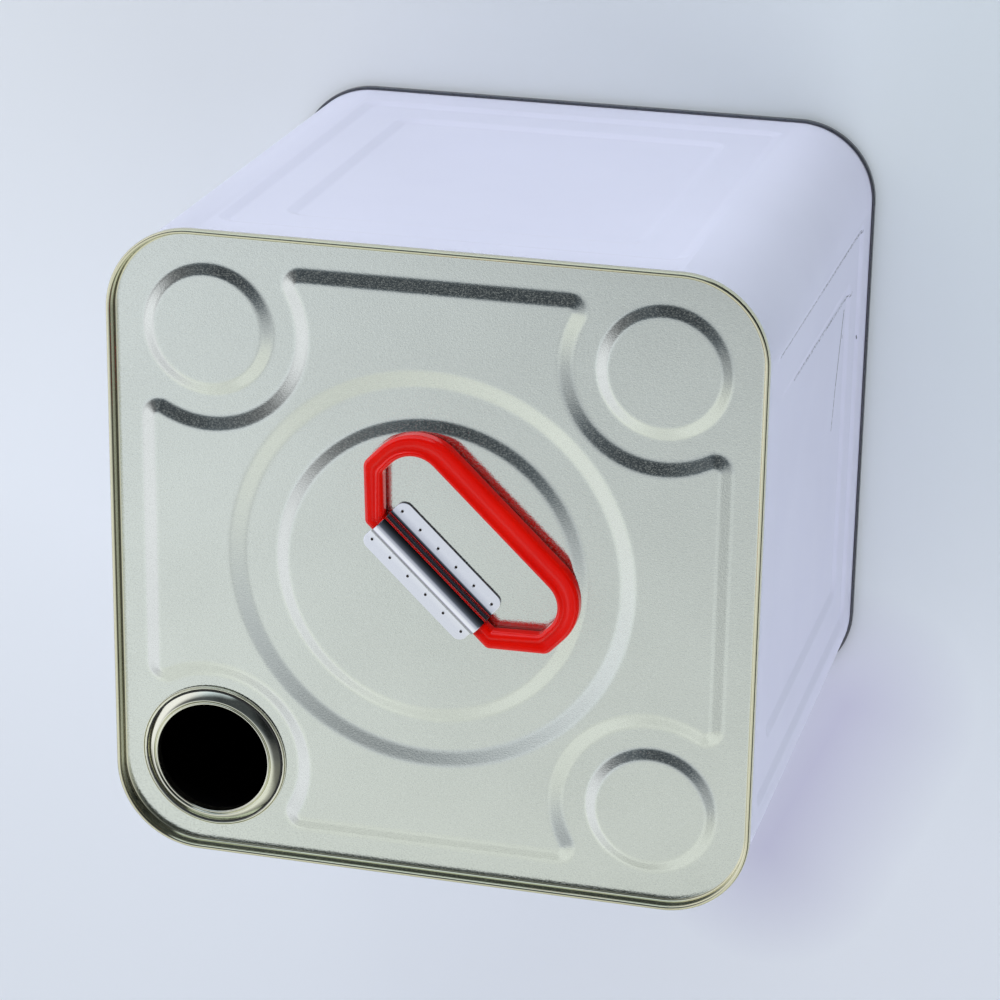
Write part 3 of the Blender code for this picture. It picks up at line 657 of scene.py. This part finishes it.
def make_bracket(materials):
    outer = TUBE_RADIUS + BRACKET_SHEET
    foot = (outer + BRACKET_FOOT_RADIUS, flange_top() + BRACKET_FOOT_RADIUS)
    flange_end = outer + BRACKET_FOOT_RADIUS + BRACKET_FLANGE_WIDTH
    corner_start = flange_end - BRACKET_CORNER_RADIUS
    half = []
    for step in range(FLANGE_STEPS + 1):
        angle = math.radians(90 * step / FLANGE_STEPS)
        half.append((corner_start + BRACKET_CORNER_RADIUS * math.cos(angle), flange_top()))
    half += arc(foot, BRACKET_FOOT_RADIUS, 270, 180, FOOT_STEPS)
    section = half + arc((0, 0), outer, 0, 180, TUBE_STEPS)
    section += [(-across, height) for across, height in reversed(half)]
    bm = bmesh.new()
    rows = []
    for across, height in section:
        past = clamp(abs(across) - corner_start, BRACKET_CORNER_RADIUS)
        end = BRACKET_LENGTH / 2 - BRACKET_CORNER_RADIUS
        end += math.sqrt(BRACKET_CORNER_RADIUS**2 - past**2)
        rows.append([bm.verts.new((end * share, across, height)) for share in BRACKET_ROWS])
    for row, after in zip(rows, rows[1:]):
        for index in range(len(BRACKET_ROWS) - 1):
            bm.faces.new((row[index], row[index + 1], after[index + 1], after[index]))
    face_outwards(bm, (0, 0, outer), (0, 0, 1))
    to_hinge(bm)
    made = show("plated_bracket", bm, materials)
    thicken(made, BRACKET_SHEET, inner_slot=0, bevel=BRACKET_EDGE_BEVEL)
    stand_for(made, "handle_bracket", "can")


def make_welds(materials):
    """Shallow spot welds along both flanges: a burnt pit in a low raised lip."""
    bm = bmesh.new()
    across = TUBE_RADIUS + BRACKET_SHEET + BRACKET_FOOT_RADIUS + WELD_ROW_SHARE * BRACKET_FLANGE_WIDTH
    for side in (-1, 1):
        for count in range(WELD_COUNT):
            along = (count - (WELD_COUNT - 1) / 2) * WELD_PITCH
            centre = (along, side * across)
            rings = []
            for radius, height in WELD_LIP:
                rings.append(add_ring(bm, circle(centre, radius, WELD_STEPS), flange_top() + height))
            bridge_all(bm, rings)
            pit = bm.faces.new(rings[-1])
            pit.material_index = 1
    bmesh.ops.recalc_face_normals(bm, faces=bm.faces[:])
    for face in bm.faces:
        if face.normal.z < 0:
            face.normal_flip()
    to_hinge(bm)
    made = show("bracket_spot_welds", bm, materials, WELD_ANGLE)
    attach(made, "can")


# Handle


def handle_outlines():
    """Matched outer and inner outlines of the handle's loop in its own plane."""
    bar = HANDLE_BAR_WIDTH / 2
    inner_half = HANDLE_HALF_LENGTH - HANDLE_SIDE_WIDTH
    inner_reach = HANDLE_REACH - HANDLE_GRIP_WIDTH
    inner_rise = inner_half - BAR_HALF_LENGTH
    outer_heel = BAR_HALF_LENGTH + HANDLE_ARM_WIDTH * math.sqrt(2) - 2 * bar
    outer_rise = HANDLE_HALF_LENGTH - outer_heel
    outer_radius = HANDLE_GRIP_ROUNDING * (HANDLE_REACH - outer_rise + bar)
    inner_radius = HANDLE_GRIP_ROUNDING * (inner_reach - inner_rise - bar)
    outer = [
        (outer_heel, -bar, HANDLE_HEEL_RADIUS),
        (HANDLE_HALF_LENGTH, outer_rise - bar, HANDLE_ARM_RADIUS),
        (HANDLE_HALF_LENGTH, HANDLE_REACH, outer_radius),
    ]
    inner = [
        (BAR_HALF_LENGTH, bar, HANDLE_INNER_HEEL_RADIUS),
        (inner_half, bar + inner_rise, HANDLE_INNER_ARM_RADIUS),
        (inner_half, inner_reach, inner_radius),
    ]
    outlines = []
    for half in (outer, inner):
        mirrored = [(-x, y, radius) for x, y, radius in reversed(half)]
        outlines.append(rounded_polygon(half + mirrored, HANDLE_CORNER_STEPS, HANDLE_GUARD))
    return outlines


def handle_section(width, clear):
    """Closed section from the inner edge to the outer one: a rib along each edge and a hollow between them.

    Where the loop narrows to the bar, the sides take up the whole width. Clear is 1 well away from the
    bar, where the ribs have their own radii.
    """
    half_height = HANDLE_THICKNESS / 2
    spare = (width - HANDLE_BAR_WIDTH) / (HANDLE_ARM_WIDTH - HANDLE_BAR_WIDTH)
    blend = clamp(spare)
    round_bar = min(half_height, width / 2) - HANDLE_BAR_MARGIN
    radius = round_bar + (HANDLE_EDGE_RADIUS - round_bar) * blend
    inner = radius + (HANDLE_INNER_RIB_RADIUS - radius) * clear
    outer = radius + (HANDLE_OUTER_RIB_RADIUS - radius) * clear
    flat = width - inner - outer
    depth = min(HANDLE_HOLLOW_DEPTH, HANDLE_HOLLOW_LIMIT * flat)
    points = arc((width - outer, half_height - outer), outer, 0, 90, RIB_STEPS)
    for step in range(1, HOLLOW_STEPS):
        share = 1 - step / HOLLOW_STEPS
        hollow = depth * math.sin(math.pi * share**HANDLE_HOLLOW_SKEW) ** 2
        points.append((inner + flat * share, half_height - hollow))
    points += arc((inner, half_height - inner), inner, 90, 180, RIB_STEPS)
    under = [(x, -y) for x, y in reversed(points)]
    return points + under


def make_handle(materials):
    outer, inner = handle_outlines()
    bm = bmesh.new()
    rings = []
    for (outer_x, outer_y), (inner_x, inner_y) in zip(outer, inner):
        near = Vector((inner_x, inner_y))
        far = Vector((outer_x, outer_y))
        width = (far - near).length
        towards = (far - near).normalized()
        clear = clamp((outer_y - HANDLE_THICKNESS) / HANDLE_THICKNESS)
        ring = []
        for along, height in handle_section(width, clear):
            spot = near + towards * along
            ring.append(bm.verts.new((spot.x + HANDLE_REST_SLIDE, spot.y, height)))
        rings.append(ring)
    bridge_all(bm, rings + rings[:1])
    bmesh.ops.recalc_face_normals(bm, faces=bm.faces[:])
    to_hinge(bm)
    made = show("moulded_handle", bm, materials, HANDLE_ANGLE)
    stand_for(made, "carry_handle", "handle")


# Materials


class Nodes:
    """Node shortcuts that the materials and the world share."""

    def __init__(self, tree):
        self.nodes, self.links = tree.nodes, tree.links

    def link(self, source, target):
        self.links.new(source, target)

    def fill(self, sockets, values):
        """Link or set each socket, as its value is a socket or a plain number or vector."""
        for socket, value in zip(sockets, values):
            if isinstance(value, (float, tuple)):
                socket.default_value = value
            else:
                self.link(value, socket)

    def split(self, source):
        node = self.nodes.new("ShaderNodeSeparateXYZ")
        self.link(source, node.inputs["Vector"])
        return node.outputs

    def math(self, operation, first, second):
        node = self.nodes.new("ShaderNodeMath")
        node.operation = operation
        self.fill(node.inputs, (first, second))
        return node.outputs[0]

    def mix(self, factor, first, second):
        node = self.nodes.new("ShaderNodeMix")
        node.data_type = "RGBA"
        colours = [socket for socket in node.inputs if socket.type == "RGBA"]
        values = [(*value, 1) if isinstance(value, tuple) else value for value in (first, second)]
        self.fill(colours, values)
        self.link(factor, node.inputs["Factor"])
        return [socket for socket in node.outputs if socket.type == "RGBA"][0]

    def combine(self, operation, *values):
        """A vector or value made from one or two others."""
        node = self.nodes.new("ShaderNodeVectorMath")
        node.operation = operation
        self.fill(node.inputs, values)
        wanted = "Value" if operation in ("DOT_PRODUCT", "LENGTH") else "Vector"
        return node.outputs[wanted]


class Shader(Nodes):
    """A Principled material in the object's own coordinates."""

    def __init__(self, name, colour, metallic, roughness):
        self.material = bpy.data.materials.new(name)
        self.material.use_nodes = True
        super().__init__(self.material.node_tree)
        self.main = self.nodes["Principled BSDF"]
        self.set(metallic=metallic, roughness=roughness)
        self.main.inputs["Base Color"].default_value = (*colour, 1)
        self.coords = self.nodes.new("ShaderNodeTexCoord").outputs["Object"]

    def set(self, **values):
        for key, value in values.items():
            self.main.inputs[key.replace("_", " ").title()].default_value = value

    def drive(self, name, source):
        self.link(source, self.main.inputs[name])

    def noise(self, scale, stretch=(1, 1, 1), detail=3.0, rough=0.55):
        mapping = self.nodes.new("ShaderNodeMapping")
        mapping.inputs["Scale"].default_value = stretch
        self.link(self.coords, mapping.inputs["Vector"])
        noise = self.nodes.new("ShaderNodeTexNoise")
        noise.inputs["Scale"].default_value = scale
        noise.inputs["Detail"].default_value = detail
        noise.inputs["Roughness"].default_value = rough
        self.link(mapping.outputs["Vector"], noise.inputs["Vector"])
        return noise.outputs["Fac"]

    def remap(self, source, low, high, to_low=0, to_high=1):
        node = self.nodes.new("ShaderNodeMapRange")
        for name, value in (("From Min", low), ("From Max", high), ("To Min", to_low), ("To Max", to_high)):
            node.inputs[name].default_value = value
        self.link(source, node.inputs["Value"])
        return node.outputs["Result"]

    def stroke(self, start, end, width, soft, axes):
        """One on a line between two points, nought beyond its width, measured along the axes given as 1."""
        reach = (Vector(end) - Vector(start)) * Vector(axes)
        away = self.combine("MULTIPLY", self.combine("SUBTRACT", self.coords, start), axes)
        share = self.combine("DOT_PRODUCT", away, tuple(reach / reach.length_squared))
        share = self.remap(share, 0, 1)
        nearest = self.nodes.new("ShaderNodeVectorMath")
        nearest.operation = "SCALE"
        nearest.inputs[0].default_value = reach
        self.link(share, nearest.inputs["Scale"])
        gap = self.combine("SUBTRACT", away, nearest.outputs["Vector"])
        return self.remap(self.combine("LENGTH", gap), (1 - soft) * width / 2, (1 + soft) * width / 2, 1, 0)

    def bump(self, source, strength, distance, after=None):
        node = self.nodes.new("ShaderNodeBump")
        node.inputs["Strength"].default_value = strength
        node.inputs["Distance"].default_value = distance
        self.link(source, node.inputs["Height"])
        if after is not None:
            self.link(after, node.inputs["Normal"])
        return node.outputs["Normal"]


def tinplate_material(name, colour, roughness, grain):
    """Rolled tinplate: short streaks along X, a fine crystal grain and faint clouding."""
    shader = Shader(name, colour, 1.0, roughness)
    streaks = shader.noise(1700, stretch=(0.45, 1, 1), detail=2, rough=0.6)
    speckle = shader.noise(2600, stretch=(0.6, 1, 1), detail=2, rough=0.6)
    clouds = shader.noise(22, rough=0.5)
    darker = tuple(0.95 * value for value in colour)
    lighter = tuple(min(1.0, 1.04 * value) for value in colour)
    specked = tuple(0.8 * value for value in colour)
    tint = shader.mix(shader.remap(clouds, 0.35, 0.65), colour, darker)
    tint = shader.mix(shader.remap(streaks, 0.4, 0.7, 0, 0.7), tint, lighter)
    tint = shader.mix(shader.remap(speckle, 0.3, 0.42, 0.5 * grain, 0), tint, specked)
    shader.drive("Base Color", tint)
    shader.drive("Metallic", shader.remap(speckle, 0.5, 0.62, 1.0, 1.0 - 0.22 * grain))
    shader.drive("Roughness", shader.remap(streaks, 0.3, 0.7, roughness * 0.85, roughness * 1.15))
    first = shader.bump(streaks, strength=0.2 * grain, distance=0.00009)
    second = shader.bump(speckle, strength=0.55 * grain, distance=0.00006, after=first)
    shader.drive("Normal", second)
    return shader.material


def paint_material():
    """Lavender paint with a faint orange peel, rubbed through in fine lines on one side."""
    shader = Shader("lavender_paint", PAINT, 0.0, 0.38)
    shader.set(coat_weight=0.2, coat_roughness=0.25)
    clouds = shader.noise(9, rough=0.5)
    paler = tuple(1.02 * value for value in PAINT)
    deeper = tuple(0.97 * value for value in PAINT)
    tint = shader.mix(shader.remap(clouds, 0.3, 0.7), deeper, paler)
    breaks = shader.noise(900, rough=0.7)
    east_side = shader.remap(shader.split(shader.coords)["X"], *SCRATCH_SIDE)
    low, high = SCRATCH_BREAK
    for start, end, width, broken in SCRATCHES:
        line = shader.stroke(start, end, width, SCRATCH_SOFT, (0, 1, 1))
        shown = shader.remap(breaks, low * broken, high * broken + SCRATCH_BREAK_EDGE)
        worn = shader.math("MULTIPLY", line, shown)
        worn = shader.math("MULTIPLY", worn, east_side)
        tint = shader.mix(worn, tint, SCRATCH_COLOUR)
    shader.drive("Base Color", tint)
    peel = shader.noise(700, detail=2, rough=0.5)
    wave = shader.noise(30, detail=2, rough=0.5)
    first = shader.bump(wave, strength=0.12, distance=0.0004)
    second = shader.bump(peel, strength=0.12, distance=0.00006, after=first)
    shader.drive("Normal", second)
    shader.drive("Roughness", shader.remap(wave, 0.3, 0.7, 0.34, 0.42))
    return shader.material


# Near-black inside faces: painted shade, for the dark inside the closed can
def inside_shade_material():
    shader = Shader("inside_painted_shade", (0.012, 0.012, 0.015), 0.0, 0.6)
    clouds = shader.noise(60)
    shader.drive("Base Color", shader.mix(clouds, (0.010, 0.010, 0.013), (0.014, 0.014, 0.017)))
    return shader.material


def plated_material():
    shader = Shader("plated_strip", (0.80, 0.81, 0.86), 1.0, 0.08)
    speckle = shader.noise(1800, rough=0.6)
    share = shader.remap(speckle, 0.35, 0.65)
    shader.drive("Base Color", shader.mix(share, (0.77, 0.785, 0.84), (0.81, 0.82, 0.87)))
    shader.drive("Roughness", shader.remap(speckle, 0.3, 0.7, 0.05, 0.11))
    shader.drive("Normal", shader.bump(speckle, strength=0.05, distance=0.00002))
    return shader.material


def burnt_material():
    shader = Shader("weld_pit", (0.02, 0.016, 0.014), 0.6, 0.6)
    speckle = shader.noise(3000)
    shader.drive("Base Color", shader.mix(speckle, (0.008, 0.007, 0.007), (0.05, 0.035, 0.025)))
    return shader.material


def red_material():
    """Moulded red plastic: a satin top with the rounded edges polished by the mould and by hands."""
    shader = Shader("red_plastic", (0.78, 0.005, 0.001), 0.0, 0.1)
    flow = shader.noise(60, rough=0.5)
    share = shader.remap(flow, 0.3, 0.7)
    shader.drive("Base Color", shader.mix(share, (0.75, 0.004, 0.001), (0.80, 0.006, 0.001)))
    facing = shader.combine("ABSOLUTE", shader.coords.node.outputs["Normal"])
    shader.drive("Specular IOR Level", shader.remap(shader.split(facing)["Z"], 0.93, 0.97, 0.5, 0.11))
    fine = shader.noise(500, rough=0.6)
    shader.drive("Roughness", shader.remap(fine, 0.3, 0.7, 0.05, 0.09))
    first = shader.bump(flow, strength=0.08, distance=0.0003)
    shader.drive("Normal", shader.bump(fine, strength=0.1, distance=0.00003, after=first))
    return shader.material


def soft_material(name, first, second, roughness):
    """Rubber or compound: a matt colour with a fine pore."""
    shader = Shader(name, first, 0.0, roughness)
    pores = shader.noise(1500)
    shader.drive("Base Color", shader.mix(pores, first, second))
    shader.drive("Normal", shader.bump(pores, strength=0.3, distance=0.00005))
    return shader.material


def finish_hidden_nodes():
    compound = soft_material("seam_compound", (0.5, 0.47, 0.38), (0.58, 0.55, 0.46), 0.8)
    rubber = soft_material("black_rubber", (0.015, 0.015, 0.015), (0.03, 0.03, 0.03), 0.7)
    finishes = {"neck_gasket": rubber, "top_seam_compound": compound, "bottom_seam_compound": compound}
    for node, material in finishes.items():
        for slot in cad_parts[node].material_slots:
            slot.material = material


# Stage


def make_floor():
    bm = bmesh.new()
    bmesh.ops.create_grid(bm, x_segments=1, y_segments=1, size=FLOOR_HALF)
    shader = Shader("pale_floor", FLOOR_PALE, 0.0, 0.9)
    place = shader.split(shader.coords)
    # Painted shade: the floor darkens towards the north-east, where its light falls off
    east = shader.remap(place["X"], *FLOOR_SHADE_EAST)
    north = shader.remap(place["Y"], *FLOOR_SHADE_NORTH)
    tint = shader.mix(shader.math("MULTIPLY", east, north), FLOOR_PALE, FLOOR_PAINTED_SHADE)
    # Painted shadow: a lavender patch beside the can, for its shade and the bounce of its paint
    tint = shader.mix(shader.stroke(*FLOOR_SHADOW_STROKE), tint, FLOOR_SHADOW_LAVENDER)
    shader.drive("Base Color", tint)
    shader.drive("Emission Color", tint)
    shader.main.inputs["Specular IOR Level"].default_value = FLOOR_GLOSS
    rays = shader.nodes.new("ShaderNodeLightPath").outputs
    seen = shader.math("MAXIMUM", rays["Is Camera Ray"], rays["Is Glossy Ray"])
    seen = shader.math("MAXIMUM", seen, rays["Is Transmission Ray"])
    shader.drive("Emission Strength", shader.remap(seen, 0, 1, 0, FLOOR_GLOW))
    floor = show("floor", bm, [shader.material])


def add_lamp(name, target, direction, distance, width, height, power, colour):
    lamp = bpy.data.lights.new(name, "AREA")
    lamp.shape = "RECTANGLE"
    lamp.size = width
    lamp.size_y = height
    lamp.energy = power
    lamp.color = colour
    made = bpy.data.objects.new(name, lamp)
    direction = Vector(direction).normalized()
    made.location = Vector(target) + direction * distance
    made.rotation_euler = direction.to_track_quat("Z", "Y").to_euler()
    bpy.context.scene.collection.objects.link(made)
    return made


def light_studio():
    """Soft lamps that only fill. Metal and plastic mirror the surround, so no lamp whites out the lid."""
    for row in LAMPS:
        add_lamp(*row).visible_glossy = False


class Surround(Nodes):
    """The world's brightness by direction."""

    def ease(self, source, low, high):
        node = self.nodes.new("ShaderNodeMapRange")
        node.interpolation_type = "SMOOTHSTEP"
        node.inputs["From Min"].default_value = low
        node.inputs["From Max"].default_value = high
        self.link(source, node.inputs["Value"])
        return node.outputs["Result"]

    def levels(self, source, stops):
        """Brightness along a direction. The ramp holds each stop's level as a share of RAMP_TOP."""
        shift = self.math("MULTIPLY_ADD", source, 0.5)
        shift.node.inputs[2].default_value = 0.5
        node = self.nodes.new("ShaderNodeValToRGB")
        ramp = node.color_ramp
        ramp.interpolation = "LINEAR"
        for index, (place, level) in enumerate(stops):
            position = place / 2 + 0.5
            if index < 2:
                stop = ramp.elements[index]
                stop.position = position
            else:
                stop = ramp.elements.new(position)
            share = level / RAMP_TOP
            stop.color = (share, share, share, 1)
        self.link(shift, node.inputs["Fac"])
        return node.outputs["Color"]


def make_world():
    """Soft studio surround: pale to the south and west and low in the north-west, dim elsewhere."""
    world = bpy.data.worlds.new("studio")
    bpy.context.scene.world = world
    world.use_nodes = True
    tools = Surround(world.node_tree)
    coords = tools.nodes.new("ShaderNodeTexCoord")
    direction = tools.split(coords.outputs["Generated"])
    east, north, up = (direction[axis] for axis in "XYZ")
    west_room = tools.levels(north, WEST_ROOM)
    east_room = tools.levels(north, EAST_ROOM)
    room = tools.mix(tools.ease(east, -0.36, -0.18), west_room, east_room)
    room = tools.combine("MULTIPLY", room, tools.mix(tools.ease(up, 0.15, 0.5), HORIZON, FULL))
    low = tools.math("SUBTRACT", 1.0, tools.ease(up, 0.5, 0.75))
    slant = tools.math("SUBTRACT", north, tools.math("MULTIPLY", east, BACK_SLANT))
    back = tools.math("MULTIPLY", low, tools.ease(slant, 0.55, 0.8))
    room = tools.mix(back, room, BACK_ROOM)
    side = tools.levels(east, SIDES)
    tint = tools.mix(tools.ease(north, -0.5, -0.25), SOUTH_TINT, NORTH_TINT)
    tint = tools.mix(tools.ease(north, -0.1, 0.1), tint, DUSK_TINT)
    tint = tools.mix(tools.ease(east, -0.7, -0.35), WEST_TINT, tint)
    level = tools.combine("MULTIPLY", room, side)
    background = tools.nodes["Background"]
    tools.link(tools.combine("MULTIPLY", level, tint), background.inputs["Color"])
    background.inputs["Strength"].default_value = RAMP_TOP**2 * WORLD_LEVEL


def make_camera():
    """The photograph's camera: where it stood, where it looked and how it was turned."""
    camera = bpy.data.cameras.new("photo_camera")
    camera.sensor_width = SENSOR_WIDTH
    camera.lens = FOCAL_LENGTH / IMAGE_WIDTH * SENSOR_WIDTH
    camera.clip_end = CAMERA_CLIP
    made = bpy.data.objects.new("photo_camera", camera)
    forward = Vector(CAMERA_FORWARD).normalized()
    up = Vector(CAMERA_UP)
    right = forward.cross(up).normalized()
    up = right.cross(forward)
    turn = Matrix((right, up, -forward)).transposed()
    made.matrix_world = Matrix.Translation(CAMERA_PLACE) @ turn.to_4x4()
    bpy.context.scene.collection.objects.link(made)
    bpy.context.scene.camera = made


def main():
    tinplate = tinplate_material("satin_tinplate", (0.685, 0.715, 0.65), roughness=0.09, grain=1.0)
    seam = tinplate_material("rolled_tinplate", (0.68, 0.66, 0.47), roughness=0.1, grain=0.15)
    # Near-black tinplate for the bottom seam: painted shade, standing in for the seam's shaded side and the
    # dark that it mirrors
    shaded_seam = tinplate_material("painted_shade_tinplate", (0.15, 0.155, 0.17), roughness=0.3, grain=0.3)
    neck = tinplate_material("bright_tinplate", (0.76, 0.76, 0.62), roughness=0.11, grain=0.12)
    inside_shade = inside_shade_material()
    plated = plated_material()
    make_top_end([tinplate, seam, inside_shade, inside_shade])
    make_bottom_end([tinplate, shaded_seam, inside_shade, inside_shade])
    make_body([paint_material(), inside_shade])
    make_neck([neck])
    make_bracket([plated])
    make_welds([plated, burnt_material()])
    make_handle([red_material()])
    finish_hidden_nodes()
    make_floor()
    make_world()
    light_studio()
    make_camera()
    bpy.context.scene.view_settings.view_transform = "Standard"


main()
